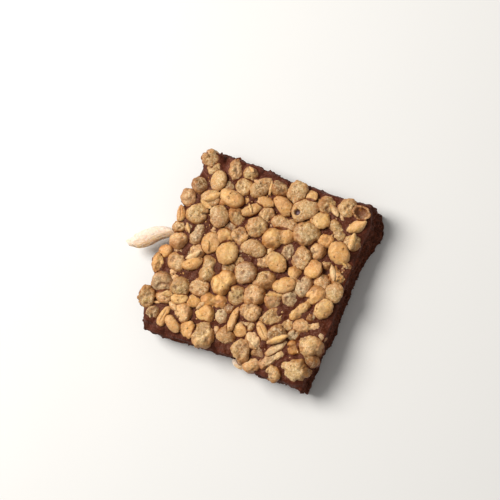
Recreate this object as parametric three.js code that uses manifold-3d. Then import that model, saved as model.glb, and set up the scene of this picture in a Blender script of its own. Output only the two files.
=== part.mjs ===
// A broken square of dark chocolate with a layer of puffed grain pressed into its top.
// The slab lies flat: +Z is up, the underside is at Z = 0 and the origin is in its middle.
// +X points to the cut right side, +Y to the back edge. The left side is a rough break, where
// the grains stand past the chocolate and one long puffed rice grain sticks out.
// All sizes are in millimetres.
import * as THREE from "three";
import { mergeVertices } from "three/addons/utils/BufferGeometryUtils.js";
import Module from "manifold-3d";

const wasm = await Module();
wasm.setup();

// Driving dimensions
const SLAB_HEIGHT = 5;
const EDGE_ROUND = 0.4;
const WALL_STEPS = 3;
const SPLINE_POINTS = 2;
const BED_HEIGHT = 0.25; // the thin bed that joins the grains above the slab's top
const BED_INSET = 0.015; // share by which the bed is smaller than the slab
const SOCKET_GAP = 0.3;

// The slab's top outline, anticlockwise from the front left corner, one list for each side.
const FRONT_LEFT = [-16.2, -16.9];
const FRONT_SIDE = [
  [-12.6, -17.0],
  [-8.8, -16.6],
  [-1.5, -16.3],
  [3.2, -16.1],
  [6.2, -17.5],
  [10.2, -17.1],
  [14.8, -17.6],
];
const RIGHT_SIDE = [
  [15.0, -12.0],
  [15.8, -5.4],
  [15.7, 3.0],
  [16.0, 11.4],
  [16.1, 14.2],
  [14.8, 17.4],
];
const BACK_SIDE = [
  [10.4, 17.0],
  [2.8, 17.2],
  [-0.4, 16.7],
  [-3.8, 17.4],
  [-10.4, 17.4],
  [-16.7, 17.3],
];
const LEFT_SIDE = [
  [-16.3, 13.4],
  [-16.5, 10.4],
  [-17.3, 7.6],
  [-16.4, 3.4],
  [-16.0, -0.8],
  [-17.4, -4.8],
  [-16.8, -8.4],
  [-17.6, -11.4],
  [-17.1, -13.8],
  FRONT_LEFT,
];

// The kinds of grain: how tall each stands for its width, how deep it sits in the chocolate as
// a share of its height, and how much longer than wide a scattered one is.
const KINDS = {
  puff: { rise: 0.82, sunk: 0.36, stretch: 1.1 },
  burst: { rise: 0.78, sunk: 0.32, stretch: 1.15 },
  twin: { rise: 0.85, sunk: 0.34, stretch: 1.5 },
  disc: { rise: 0.52, sunk: 0.1, stretch: 1.12 },
  oval: { rise: 0.8, sunk: 0.2, stretch: 1.6 },
  flake: { rise: 0.5, sunk: 0.1, stretch: 1.8 },
};

// The grains that stand out, set by hand: kind, x, y, length, width and heading in degrees.
const CHOSEN = [
  // along the broken left side, from the back
  ["puff", -15.1, 15.7, 3.1, 3.0, 20],
  ["puff", -15.3, 10.7, 3.0, 2.7, 110],
  ["puff", -16.4, 7.9, 3.0, 2.7, 110],
  ["oval", -16.7, 4.8, 2.9, 1.5, 108],
  ["puff", -16.2, 2.4, 2.3, 2.0, 20],
  ["puff", -15.4, 0.1, 2.9, 2.8, 0],
  ["puff", -16.9, -2.5, 2.4, 2.2, 20],
  ["burst", -17.4, -4.9, 3.3, 2.1, 100],
  ["puff", -15.6, -7.9, 3.7, 3.6, 150],
  ["burst", -17.2, -11.2, 3.3, 2.9, 80],
  ["puff", -15.2, -13.4, 2.4, 2.4, 20],
  // flat discs
  ["disc", -6.1, 1.0, 4.0, 3.5, 100],
  ["disc", -9.8, 6.5, 3.6, 3.3, 110],
  ["disc", -9.6, 1.5, 3.5, 3.0, 80],
  ["disc", -12.3, 12.4, 3.5, 2.7, 95],
  ["disc", 2.9, 2.2, 3.5, 2.8, 150],
  ["disc", 12.5, 7.4, 3.7, 3.1, 135],
  ["disc", 9.3, 3.3, 3.1, 2.9, 100],
  ["disc", 5.5, -1.1, 3.4, 2.5, 30],
  ["disc", 1.9, 15.0, 3.7, 2.9, 75],
  ["disc", 4.1, 12.5, 4.5, 3.3, 45],
  ["disc", 7.4, 11.7, 3.1, 2.7, 20],
  ["disc", 14.2, 0.7, 3.1, 2.8, 80],
  // twin lobes
  ["twin", -5.4, -7.8, 4.5, 2.5, 10],
  ["twin", 1.4, 6.6, 5.6, 3.4, 30],
  ["twin", -5.1, -4.1, 4.2, 3.5, 60],
  ["twin", -12.6, 2.4, 4.1, 2.4, 85],
  ["twin", -8.4, -2.9, 4.4, 2.5, 100],
  ["twin", 9.4, -4.3, 4.2, 1.8, 60],
  ["twin", 11.7, -6.3, 5.2, 2.3, 20],
  ["twin", 1.6, 9.1, 4.8, 2.5, 0],
  ["twin", 10.8, 11.0, 4.2, 2.4, 140],
  // long ovals
  ["oval", -11.3, -3.0, 3.6, 2.0, 40],
  ["oval", -4.6, 9.6, 3.7, 1.7, 45],
  ["oval", -2.8, 11.6, 3.0, 1.8, 5],
  ["oval", -13.0, -13.3, 3.5, 1.6, 80],
  ["oval", -10.9, -14.1, 3.3, 1.8, 145],
  ["oval", -11.3, -9.6, 3.0, 1.9, 20],
  ["oval", -1.0, -9.5, 4.2, 1.3, 90],
  ["oval", 4.6, -9.8, 3.3, 1.6, 135],
  ["oval", 8.0, -11.6, 4.3, 1.4, 55],
  ["flake", 13.8, 12.8, 3.4, 1.9, 45],
  // rough lumps
  ["burst", 12.0, -14.2, 5.4, 3.6, 10],
  ["burst", 13.0, -9.3, 4.4, 3.6, 170],
  ["burst", -5.2, -14.0, 4.5, 3.5, 100],
  ["burst", 2.1, -14.4, 3.5, 3.0, 100],
  ["burst", 7.8, -13.7, 4.7, 2.0, 50],
  ["burst", 3.5, -11.8, 3.9, 2.2, 130],
  ["burst", 5.4, -6.8, 4.8, 2.7, 40],
  ["burst", 5.9, 8.7, 4.0, 3.6, 20],
  ["burst", -10.1, 15.0, 4.1, 2.2, 100],
  // big round ones
  ["puff", -1.8, -1.3, 3.6, 3.5, 20],
  ["puff", 1.0, -4.4, 3.8, 3.7, 20],
  ["puff", -6.2, -10.5, 3.9, 3.0, 15],
  ["puff", -13.9, 5.6, 3.8, 3.1, 20],
  ["puff", 8.6, -0.2, 3.4, 2.9, 100],
  ["puff", 10.8, -10.4, 2.7, 2.5, 20],
  ["puff", 9.5, 8.7, 2.7, 2.5, 20],
  ["puff", 4.9, -15.9, 3.4, 2.5, 50],
  ["puff", 8.9, -16.0, 2.9, 2.7, 20],
];

// The grains between them are scattered: diameters tried in turn, and how often each is tried.
const SCATTER_SEED = 2025;
const SCATTER = [
  { size: 3.4, tries: 300 },
  { size: 3.1, tries: 700 },
  { size: 2.8, tries: 1500 },
  { size: 2.4, tries: 2000 },
  { size: 2.0, tries: 2000 },
  { size: 1.6, tries: 600 },
];
const CLOSENESS = 0.83; // how near two grains may come, as a share of their two radii
const FIELD = { left: -14.8, right: 14.3, front: -14.7, back: 15.5 };
const BARE_SPOTS = [
  [-12.4, 15.8],
  [11.4, -11.9],
  [2.6, -6.3],
];
const BARE_RADIUS = 1.4;
const FACET_GROWTH = 1.07; // makes up for what flat faces cut off a round grain

// The pale puffed rice grains in the sides. Along its length each is an egg, bent one way and
// swayed to both.
const LONG_RICE = {
  centre: [-20.7, -0.3, 3.3],
  size: [10.6, 2.85, 2.4],
  heading: 39,
  bend: -0.031,
  sway: -0.009,
  egg: 0.27,
};
const SHORT_RICE = {
  centre: [2.2, -16.0, 2.4],
  size: [3.4, 3.0, 2.0],
  heading: 20,
  bend: 0,
  sway: 0,
  egg: 0,
};

// Looks of the bare solids
const MATERIALS = {
  chocolate: { color: 0x4a2a20, roughness: 0.45, metalness: 0 },
  grain: { color: 0xcda06d, roughness: 0.8, metalness: 0 },
  rice: { color: 0xf3dcc4, roughness: 0.85, metalness: 0 },
};

function materialOf(name) {
  return new THREE.MeshStandardMaterial(MATERIALS[name]);
}

function namedMesh(name, geometry, material) {
  const mesh = new THREE.Mesh(geometry, materialOf(material));
  mesh.name = name;
  return mesh;
}

// A three.js geometry as a manifold-3d solid, and back.
function toSolid(geometry) {
  const bare = new THREE.BufferGeometry();
  bare.setAttribute("position", geometry.getAttribute("position"));
  if (geometry.index) bare.setIndex(geometry.index);
  const merged = mergeVertices(bare, 1e-4);
  return new wasm.Manifold(
    new wasm.Mesh({
      numProp: 3,
      vertProperties: merged.getAttribute("position").array,
      triVerts: new Uint32Array(merged.index.array),
    }),
  );
}

function toGeometry(solid) {
  const mesh = solid.getMesh();
  const geometry = new THREE.BufferGeometry();
  geometry.setAttribute("position", new THREE.BufferAttribute(mesh.vertProperties, 3));
  geometry.setIndex(new THREE.BufferAttribute(mesh.triVerts, 1));
  geometry.computeVertexNormals();
  return geometry;
}

function moveVertices(geometry, place) {
  const position = geometry.getAttribute("position");
  const point = new THREE.Vector3();
  for (let i = 0; i < position.count; i++) {
    point.fromBufferAttribute(position, i);
    place(point);
    position.setXYZ(i, point.x, point.y, point.z);
  }
}

function turn(degrees) {
  return (degrees * Math.PI) / 180;
}

// A repeatable random source from 0 to 1, so that every build scatters the same grains.
function randomSource(seed) {
  let state = seed;
  return () => {
    state = (state * 16807) % 2147483647;
    return state / 2147483647;
  };
}

function slabShape() {
  const shape = new THREE.Shape();
  shape.moveTo(...FRONT_LEFT);
  for (const side of [FRONT_SIDE, RIGHT_SIDE, BACK_SIDE, LEFT_SIDE])
    shape.splineThru(side.map(([x, y]) => new THREE.Vector2(x, y)));
  return shape;
}

// The walls aren't upright: they wander a little with height, draw in at the foot, and run out
// at the foot of the back right corner, where a chip left a slope.
function breakWalls(point) {
  const depth = 1 - point.z / SLAB_HEIGHT;
  const cornerDistance = Math.hypot(point.x - 16, point.y - 14.5);
  const slope = 1.6 * depth * Math.exp(-((cornerDistance / 5) ** 2));
  const draw = 0.5 * depth;
  const wander = 0.28 * Math.sin(1.9 * point.z + 0.8 * (point.x + point.y));
  const edge = Math.max(Math.abs(point.x) / 16, Math.abs(point.y) / 17);
  const share = Math.min(1, Math.max(0, edge * 4 - 3)) * Math.min(1, 3 * depth);
  point.x += slope + (point.x < 0 ? draw : 0.3 * depth) + wander * share;
  point.y += -0.2 * slope + (point.y < 0 ? draw : -draw) + 0.6 * wander * share;
}

function slabSolid() {
  const geometry = new THREE.ExtrudeGeometry(slabShape(), {
    depth: SLAB_HEIGHT - 2 * EDGE_ROUND,
    steps: WALL_STEPS,
    curveSegments: SPLINE_POINTS,
    bevelThickness: EDGE_ROUND,
    bevelSize: EDGE_ROUND,
    bevelOffset: -EDGE_ROUND,
    bevelSegments: 2,
  });
  geometry.translate(0, 0, EDGE_ROUND);
  moveVertices(geometry, breakWalls);
  return toSolid(geometry);
}

function grainAt(kind, x, y, length, width, heading) {
  const { rise, sunk } = KINDS[kind];
  const height = rise * width;
  const z = SLAB_HEIGHT + height * (0.5 - sunk);
  return { kind, x, y, z, length, width, height, heading };
}

// Three points along a grain, which stand for it when its distance to another is measured.
function spine({ x, y, length, width, heading }) {
  const half = (length - width) / 2;
  const reachX = half * Math.cos(turn(heading));
  const reachY = half * Math.sin(turn(heading));
  return [-1, 0, 1].map((end) => [x + end * reachX, y + end * reachY]);
}

function touches(a, b) {
  const reach = (CLOSENESS * (a.width + b.width)) / 2;
  return spine(a).some(([ax, ay]) =>
    spine(b).some(([bx, by]) => (ax - bx) ** 2 + (ay - by) ** 2 < reach * reach),
  );
}

function isBare({ x, y }) {
  return BARE_SPOTS.some(([bx, by]) => (x - bx) ** 2 + (y - by) ** 2 < BARE_RADIUS ** 2);
}

function scatterKind(draw) {
  if (draw < 0.54) return "puff";
  if (draw < 0.74) return "burst";
  if (draw < 0.82) return "disc";
  if (draw < 0.91) return "oval";
  return "twin";
}

// The chosen grains first, then smaller and smaller ones dropped wherever they still fit.
function layGrains() {
  const grains = CHOSEN.map((row) => grainAt(...row));
  const random = randomSource(SCATTER_SEED);
  for (const { size, tries } of SCATTER) {
    for (let i = 0; i < tries; i++) {
      const x = FIELD.left + random() * (FIELD.right - FIELD.left);
      const y = FIELD.front + random() * (FIELD.back - FIELD.front);
      const kind = scatterKind(random());
      const heading = 180 * random();
      const ratio = Math.sqrt(KINDS[kind].stretch);
      const grain = grainAt(kind, x, y, size * ratio, size / ratio, heading);
      if (!isBare(grain) && !grains.some((other) => touches(grain, other))) grains.push(grain);
    }
  }
  return grains;
}

// One lobe of a grain: an egg-shaped ball of a few flat faces, moved along the grain's length.
function lobe(grain, length, width, along) {
  const geometry = new THREE.SphereGeometry(0.5 * FACET_GROWTH, 7, 4);
  geometry.rotateX(Math.PI / 2);
  geometry.scale(length, width, grain.height);
  geometry.translate(along, 0, 0);
  geometry.rotateZ(turn(grain.heading));
  geometry.translate(grain.x, grain.y, grain.z);
  return toSolid(geometry);
}

function grainSolids(grain) {
  const { kind, length, width } = grain;
  if (kind !== "twin") return [lobe(grain, length, width, 0)];
  return [
    lobe(grain, 0.62 * length, width, -0.19 * length),
    lobe(grain, 0.56 * length, 0.86 * width, 0.22 * length),
  ];
}

function bedSolid() {
  const geometry = new THREE.ExtrudeGeometry(slabShape(), {
    depth: BED_HEIGHT,
    curveSegments: 1,
    bevelEnabled: false,
  });
  geometry.scale(1 - BED_INSET, 1 - BED_INSET, 1);
  geometry.translate(0, 0, SLAB_HEIGHT);
  return toSolid(geometry);
}

// The grain layer stands on the slab's flat top: domes on a thin bed, cut off level below.
function grainLayer() {
  const domes = wasm.Manifold.union(layGrains().flatMap(grainSolids));
  const above = new THREE.BoxGeometry(60, 60, 10);
  above.translate(0, 0, SLAB_HEIGHT + 5);
  return domes.intersect(toSolid(above)).add(bedSolid());
}

function riceSolid({ centre, size, heading, bend, sway, egg }, growth = 0) {
  const geometry = new THREE.SphereGeometry(0.5, 14, 10);
  geometry.rotateZ(Math.PI / 2);
  geometry.scale(...size.map((side) => side + 2 * growth));
  moveVertices(geometry, (point) => {
    const { x } = point;
    point.y *= 1 - (2 * egg * x) / size[0];
    point.y += bend * x ** 2 + sway * x ** 3;
  });
  geometry.rotateZ(turn(heading));
  geometry.translate(...centre);
  return toSolid(geometry);
}

const slab = slabSolid()
  .subtract(riceSolid(LONG_RICE, SOCKET_GAP))
  .subtract(riceSolid(SHORT_RICE, SOCKET_GAP));

const bar = new THREE.Group();
bar.add(
  namedMesh("chocolate_slab", toGeometry(slab), "chocolate"),
  namedMesh("puffed_grain_layer", toGeometry(grainLayer()), "grain"),
  namedMesh("long_rice_grain", toGeometry(riceSolid(LONG_RICE)), "rice"),
  namedMesh("short_rice_grain", toGeometry(riceSolid(SHORT_RICE)), "rice"),
);

export default bar;
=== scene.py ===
"""A broken square of dark chocolate with puffed grain pressed into its top, on a pale floor.

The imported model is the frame: +Z is up, the slab's underside lies on the floor at Z = 0, +X
points to the cut right side and +Y to the back edge. Sizes here are in millimetres, and are
turned into metres where a mesh is made. The grains lie where the layer's domes are, because
the same rows and the same random draws lay them out.
"""

import math
from dataclasses import dataclass
from itertools import product

import bmesh
import bpy
import numpy as np
from mathutils import Matrix, Vector


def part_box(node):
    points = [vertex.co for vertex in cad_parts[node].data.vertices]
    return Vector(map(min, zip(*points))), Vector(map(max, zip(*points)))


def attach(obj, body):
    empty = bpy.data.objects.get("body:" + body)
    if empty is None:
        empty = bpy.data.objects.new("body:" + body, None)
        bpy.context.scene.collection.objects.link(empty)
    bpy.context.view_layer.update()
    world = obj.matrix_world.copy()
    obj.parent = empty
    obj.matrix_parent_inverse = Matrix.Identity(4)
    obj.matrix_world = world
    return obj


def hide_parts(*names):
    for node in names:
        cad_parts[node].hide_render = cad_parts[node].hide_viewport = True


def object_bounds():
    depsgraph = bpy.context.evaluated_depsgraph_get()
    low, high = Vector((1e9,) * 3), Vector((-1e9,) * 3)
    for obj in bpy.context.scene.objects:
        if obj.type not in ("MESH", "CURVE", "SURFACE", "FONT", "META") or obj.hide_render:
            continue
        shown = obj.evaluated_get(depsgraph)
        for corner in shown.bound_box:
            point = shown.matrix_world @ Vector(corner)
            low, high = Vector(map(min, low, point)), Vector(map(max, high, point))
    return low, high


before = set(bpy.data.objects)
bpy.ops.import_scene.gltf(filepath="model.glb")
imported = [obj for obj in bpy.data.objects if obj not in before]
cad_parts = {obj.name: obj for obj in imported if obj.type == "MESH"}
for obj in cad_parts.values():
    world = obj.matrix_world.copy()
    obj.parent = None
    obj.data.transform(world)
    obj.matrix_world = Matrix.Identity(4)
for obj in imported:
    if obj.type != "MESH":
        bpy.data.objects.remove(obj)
cad_low, cad_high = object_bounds()

MM = 0.001
SLAB_TOP = round(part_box("chocolate_slab")[1][2] / MM, 3)
CAD_TOP = cad_high[2] / MM
LOOKS_SEED = 11
FAR = 9.0  # stands for no grain near

# ---- Where the grains lie ----

# For each kind: how tall it stands for its width, how deep it sits in the chocolate as a share
# of its height, and how much longer than wide a scattered one is.
KINDS = {
    "puff": (0.82, 0.36, 1.1),
    "burst": (0.78, 0.32, 1.15),
    "twin": (0.85, 0.34, 1.5),
    "disc": (0.52, 0.1, 1.12),
    "oval": (0.8, 0.2, 1.6),
    "flake": (0.5, 0.1, 1.8),
}
KINDS["holed"] = KINDS["disc"]
FLAT_KINDS = ("disc", "holed", "oval", "flake", "bowl")

# The grains that stand out: kind, tone, x, y, length, width and heading in degrees.
CHOSEN = [
    # along the broken left side, from the back
    ("puff", "khaki", -15.1, 15.7, 3.1, 3.0, 20),
    ("puff", "brown", -15.3, 10.7, 3.0, 2.7, 110),
    ("puff", "tan", -16.4, 7.9, 3.0, 2.7, 110),
    ("oval", "orange", -16.7, 4.8, 2.9, 1.5, 108),
    ("puff", "khaki", -16.2, 2.4, 2.3, 2.0, 20),
    ("puff", "tan", -15.4, 0.1, 2.9, 2.8, 0),
    ("puff", "orange", -16.9, -2.5, 2.4, 2.2, 20),
    ("burst", "golden", -17.4, -4.9, 3.3, 2.1, 100),
    ("puff", "grey", -15.6, -7.9, 3.7, 3.6, 150),
    ("burst", "khaki", -17.2, -11.2, 3.3, 2.9, 80),
    ("puff", "brown", -15.2, -13.4, 2.4, 2.4, 20),
    # flat discs
    ("disc", "golden", -6.1, 1.0, 4.0, 3.5, 100),
    ("disc", "khaki", -9.8, 6.5, 3.6, 3.3, 110),
    ("disc", "golden", -9.6, 1.5, 3.5, 3.0, 80),
    ("disc", "khaki", -12.3, 12.4, 3.5, 2.7, 95),
    ("disc", "golden", 2.9, 2.2, 3.5, 2.8, 150),
    ("disc", "golden", 12.5, 7.4, 3.7, 3.1, 135),
    ("disc", "orange", 9.3, 3.3, 3.1, 2.9, 100),
    ("disc", "golden", 5.5, -1.1, 3.4, 2.5, 30),
    ("disc", "khaki", 1.9, 15.0, 3.7, 2.9, 75),
    ("holed", "khaki", 4.1, 12.5, 4.5, 3.3, 45),
    ("disc", "golden", 7.4, 11.7, 3.1, 2.7, 20),
    ("disc", "khaki", 14.2, 0.7, 3.1, 2.8, 80),
    # twin lobes
    ("twin", "orange", -5.4, -7.8, 4.5, 2.5, 10),
    ("twin", "golden", 1.4, 6.6, 5.6, 3.4, 30),
    ("twin", "golden", -5.1, -4.1, 4.2, 3.5, 60),
    ("twin", "grey", -12.6, 2.4, 4.1, 2.4, 85),
    ("twin", "khaki", -8.4, -2.9, 4.4, 2.5, 100),
    ("twin", "golden", 9.4, -4.3, 4.2, 1.8, 60),
    ("twin", "tan", 11.7, -6.3, 5.2, 2.3, 20),
    ("twin", "khaki", 1.6, 9.1, 4.8, 2.5, 0),
    ("twin", "khaki", 10.8, 11.0, 4.2, 2.4, 140),
    # long ovals
    ("oval", "orange", -11.3, -3.0, 3.6, 2.0, 40),
    ("oval", "golden", -4.6, 9.6, 3.7, 1.7, 45),
    ("oval", "golden", -2.8, 11.6, 3.0, 1.8, 5),
    ("oval", "golden", -13.0, -13.3, 3.5, 1.6, 80),
    ("oval", "golden", -10.9, -14.1, 3.3, 1.8, 145),
    ("oval", "golden", -11.3, -9.6, 3.0, 1.9, 20),
    ("oval", "golden", -1.0, -9.5, 4.2, 1.3, 90),
    ("oval", "golden", 4.6, -9.8, 3.3, 1.6, 135),
    ("oval", "pale", 8.0, -11.6, 4.3, 1.4, 55),
    ("flake", "golden", 13.8, 12.8, 3.4, 1.9, 45),
    # rough lumps
    ("burst", "khaki", 12.0, -14.2, 5.4, 3.6, 10),
    ("burst", "khaki", 13.0, -9.3, 4.4, 3.6, 170),
    ("burst", "khaki", -5.2, -14.0, 4.5, 3.5, 100),
    ("burst", "khaki", 2.1, -14.4, 3.5, 3.0, 100),
    ("burst", "pale", 7.8, -13.7, 4.7, 2.0, 50),
    ("burst", "pale", 3.5, -11.8, 3.9, 2.2, 130),
    ("burst", "khaki", 5.4, -6.8, 4.8, 2.7, 40),
    ("burst", "khaki", 5.9, 8.7, 4.0, 3.6, 20),
    ("burst", "tan", -10.1, 15.0, 4.1, 2.2, 100),
    # big round ones
    ("puff", "grey", -1.8, -1.3, 3.6, 3.5, 20),
    ("puff", "khaki", 1.0, -4.4, 3.8, 3.7, 20),
    ("puff", "golden", -6.2, -10.5, 3.9, 3.0, 15),
    ("puff", "khaki", -13.9, 5.6, 3.8, 3.1, 20),
    ("puff", "grey", 8.6, -0.2, 3.4, 2.9, 100),
    ("puff", "orange", 10.8, -10.4, 2.7, 2.5, 20),
    ("puff", "orange", 9.5, 8.7, 2.7, 2.5, 20),
    ("puff", "tan", 4.9, -15.9, 3.4, 2.5, 50),
    ("puff", "khaki", 8.9, -16.0, 2.9, 2.7, 20),
]

# The grains between them: diameters tried in turn, and how often each is tried. A draw from 0
# to 1 gives the first kind whose limit is above it.
SCATTER_SEED = 2025
SCATTER = [(3.4, 300), (3.1, 700), (2.8, 1500), (2.4, 2000), (2.0, 2000), (1.6, 600)]
SCATTER_KINDS = [("puff", 0.54), ("burst", 0.74), ("disc", 0.82), ("oval", 0.91), ("twin", 1.0)]
CLOSENESS = 0.83  # how near two of them may come, as a share of the distance at which they touch
FIELD_X = (-14.8, 14.3)
FIELD_Y = (-14.7, 15.5)
BARE_SPOTS = [(-12.4, 15.8), (11.4, -11.9), (2.6, -6.3)]
BARE_RADIUS = 1.4

# Thin husks that lie on the others: the same columns after the kind.
HUSKS = [
    ("golden", -12.2, 9.3, 3.0, 1.3, 41),
    ("golden", -12.8, 7.7, 2.1, 1.1, 165),
    ("russet", -10.1, 9.3, 2.8, 1.4, 41),
    ("golden", -9.0, 10.7, 1.7, 1.0, 39),
    ("golden", -7.3, 16.2, 1.3, 0.6, 150),
    ("golden", -2.9, 14.2, 2.4, 0.7, 96),
    ("golden", 14.0, 10.0, 2.7, 1.2, 95),
    ("pale", 9.1, 14.2, 2.4, 1.0, 140),
    ("pale", 12.7, 3.8, 2.7, 1.0, 120),
    ("golden", 4.4, -3.3, 2.7, 0.8, 20),
    ("golden", 7.7, -10.3, 3.6, 1.1, 40),
    ("golden", -14.4, 2.7, 1.8, 0.7, 126),
    ("pale", -11.7, -1.5, 2.9, 1.1, 44),
    ("golden", -13.6, -9.5, 1.9, 1.2, 20),
    ("golden", -15.0, -11.5, 1.5, 0.5, 15),
    ("tan", -12.0, -11.1, 2.3, 1.1, 151),
]
BOWL_SPOT = (13.9, 15.3)  # the grain nearest to it is an empty bowl of husk
BOWL_SIZE = (3.0, 2.4, 1.5)
BOWL_RISE = 1.3  # how high its middle is above the slab

# Each tone has two colours, which run into each other over a grain, and a share from 0 to 1 that
# says how sandy the grain looks.
TONES = {
    "khaki": ((0.82, 0.67, 0.44), (0.80, 0.60, 0.39), 0.9),
    "tan": ((0.91, 0.72, 0.50), (0.83, 0.61, 0.42), 0.8),
    "golden": ((0.95, 0.76, 0.48), (0.89, 0.66, 0.39), 0.4),
    "grey": ((0.79, 0.69, 0.54), (0.72, 0.59, 0.46), 1.0),
    "brown": ((0.55, 0.38, 0.23), (0.46, 0.29, 0.17), 0.8),
    "orange": ((0.92, 0.69, 0.40), (0.83, 0.56, 0.29), 0.4),
    "pale": ((0.97, 0.82, 0.62), (0.92, 0.71, 0.53), 0.5),
    "russet": ((0.66, 0.35, 0.18), (0.55, 0.26, 0.13), 0.5),
}
# How often each tone comes on scattered grains, low ones and random husks.
ROUND_TONES = {"khaki": 0.42, "tan": 0.2, "golden": 0.13, "grey": 0.13, "brown": 0.07, "orange": 0.05}
FLAT_TONES = {"golden": 0.5, "khaki": 0.22, "orange": 0.16, "pale": 0.07, "russet": 0.05}
# the low grains lean to brown partly as painted shade, for they lie deep between the others, and partly
# for chocolate smeared on them
LOW_SHADED_TONES = {"tan": 0.22, "khaki": 0.15, "brown": 0.45, "grey": 0.1, "orange": 0.08}
HUSK_TONES = {"golden": 0.55, "tan": 0.3, "orange": 0.15}
CRUMB_TONES = ["golden", "pale", "tan", "orange"]


@dataclass
class Grain:
    """One grain of the layer: a box of length, width and height around its middle."""

    kind: str
    tone: str
    x: float
    y: float
    z: float
    length: float
    width: float
    height: float
    heading: float
    pitch: float = 0.0

    def spine(self):
        """Three points along the grain, which stand for it when distances are measured."""
        half = (self.length - self.width) / 2
        turn = math.radians(self.heading)
        reach = (half * math.cos(turn), half * math.sin(turn))
        return [(self.x + end * reach[0], self.y + end * reach[1]) for end in (-1, 0, 1)]


def grain_at(kind, tone, x, y, length, width, heading):
    rise, sunk, _ = KINDS[kind]
    height = rise * width
    z = SLAB_TOP + height * (0.5 - sunk)
    return Grain(kind, tone, x, y, z, length, width, height, heading)


def random_source(seed):
    """The repeatable random numbers from 0 to 1 that also lay out the CAD model's grains."""
    while True:
        seed = seed * 16807 % 2147483647
        yield seed / 2147483647


def is_bare(x, y):
    """Whether a place is in a spot where no grains lie."""
    return any(math.dist((x, y), spot) < BARE_RADIUS for spot in BARE_SPOTS)


def random_spots(count, rng):
    return np.column_stack([rng.uniform(*FIELD_X, count), rng.uniform(*FIELD_Y, count)])


def pick(shares, rng):
    """One of the names, each as often as its share says."""
    return rng.choice(list(shares), p=list(shares.values()))


def lay_grains():
    """The chosen grains first, then smaller and smaller ones dropped wherever they still fit."""
    grains = [grain_at(*row) for row in CHOSEN]
    spines = [grain.spine() for grain in grains]
    draws = random_source(SCATTER_SEED)
    for size, tries in SCATTER:
        for _ in range(tries):
            x = FIELD_X[0] + next(draws) * (FIELD_X[1] - FIELD_X[0])
            y = FIELD_Y[0] + next(draws) * (FIELD_Y[1] - FIELD_Y[0])
            draw = next(draws)
            kind = next(name for name, limit in SCATTER_KINDS if draw < limit)
            heading = 180 * next(draws)
            ratio = math.sqrt(KINDS[kind][2])
            grain = grain_at(kind, "", x, y, size * ratio, size / ratio, heading)
            if is_bare(x, y):
                continue
            gaps = np.array(spines)[:, :, None] - np.array(grain.spine())
            nearest = (gaps**2).sum(axis=3).min(axis=(1, 2))
            widths = np.array([other.width for other in grains])
            reach = CLOSENESS * (widths + grain.width) / 2
            if (nearest >= reach**2).all():
                grains.append(grain)
                spines.append(grain.spine())
    return grains


CHOSEN_UNEVEN = (0.0, 0.35)  # how far above its dome a chosen grain lies
SCATTER_UNEVEN = (-0.2, 0.35)  # how far below or above its dome a scattered one lies
LIFT = {"disc": 0.42, "holed": 0.4, "oval": 0.4, "flake": 0.8}  # how much higher these kinds lie
SPREAD = 0.2  # how much wider a higher grain is, for each millimetre
LEAST_TOP = 1.3  # how high above the slab a chosen grain's top is at least


def make_uneven(grains, heights, rng):
    for grain in grains:
        offset = rng.uniform(*heights)
        grain.z += offset + LIFT.get(grain.kind, 0.0)
        grain.length *= 1 + SPREAD * offset
        grain.width *= 1 + SPREAD * offset


def finish_grains(grains, rng):
    """Gives the scattered grains tones and all of them uneven heights, and makes the bowl."""
    chosen, scattered = grains[:len(CHOSEN)], grains[len(CHOSEN):]
    make_uneven(chosen, CHOSEN_UNEVEN, rng)
    make_uneven(scattered, SCATTER_UNEVEN, rng)
    for grain in chosen:
        grain.z = max(grain.z, SLAB_TOP + LEAST_TOP - grain.height / 2)
    for grain in scattered:
        grain.tone = pick(FLAT_TONES if grain.kind in FLAT_KINDS else ROUND_TONES, rng)
    nearest = min(grains, key=lambda grain: math.dist((grain.x, grain.y), BOWL_SPOT))
    nearest.kind = "bowl"
    nearest.tone = "russet"
    nearest.length, nearest.width, nearest.height = BOWL_SIZE
    nearest.z = SLAB_TOP + BOWL_RISE


def along_and_across(x, y, turn):
    """The parts of level distances along a direction and across it."""
    return x * math.cos(turn) + y * math.sin(turn), y * math.cos(turn) - x * math.sin(turn)


def gap_to(grains, points):
    """How far each point is from the nearest grain, and 0 inside one.

    Points with an x and y alone are measured from the grains' outlines, seen from above.
    """
    gap = np.full(len(points), FAR)
    for grain in grains:
        x = points[:, 0] - grain.x
        y = points[:, 1] - grain.y
        along, across = along_and_across(x, y, math.radians(grain.heading))
        out = np.hypot(along / (grain.length / 2), across / (grain.width / 2))
        if points.shape[1] == 3:
            out = np.hypot(out, (points[:, 2] - grain.z) / (grain.height / 2))
        gap = np.minimum(gap, np.maximum(out - 1, 0) * grain.width / 2)
    return gap


# The low grains that show in the gaps: diameters tried in turn, and how often each is tried.
LOW_SIZES = [(2.6, 2000), (2.2, 2000), (1.7, 2500)]
LOW_KINDS = {"puff": 0.6, "burst": 0.3, "twin": 0.1}
LOW_STRETCH = (1.0, 1.35)
LOW_ROOM = 0.18  # how far its middle is at least from the others, as a share of its diameter
LOW_APART = 0.95  # and how near two of them may come, as a share of touching
LOW_SUNK = 0.42


def lay_low_grains(grains, rng):
    """Smaller grains, sunk deeper, wherever a gap leaves room for most of one."""
    low = []
    for size, tries in LOW_SIZES:
        spots = random_spots(tries, rng)
        roomy = gap_to(grains, spots) > LOW_ROOM * size
        for x, y in spots[roomy]:
            crowded = any(
                math.hypot(x - other.x, y - other.y) < LOW_APART * (size + other.width) / 2
                for other in low
            )
            if crowded or is_bare(x, y):
                continue
            tone = pick(LOW_SHADED_TONES, rng)
            kind = pick(LOW_KINDS, rng)
            length = size * rng.uniform(*LOW_STRETCH)
            grain = grain_at(kind, tone, x, y, length, size, rng.uniform(0, 180))
            grain.z = SLAB_TOP + grain.height * (0.5 - LOW_SUNK)
            low.append(grain)
    return low


# ---- Shapes ----

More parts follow.
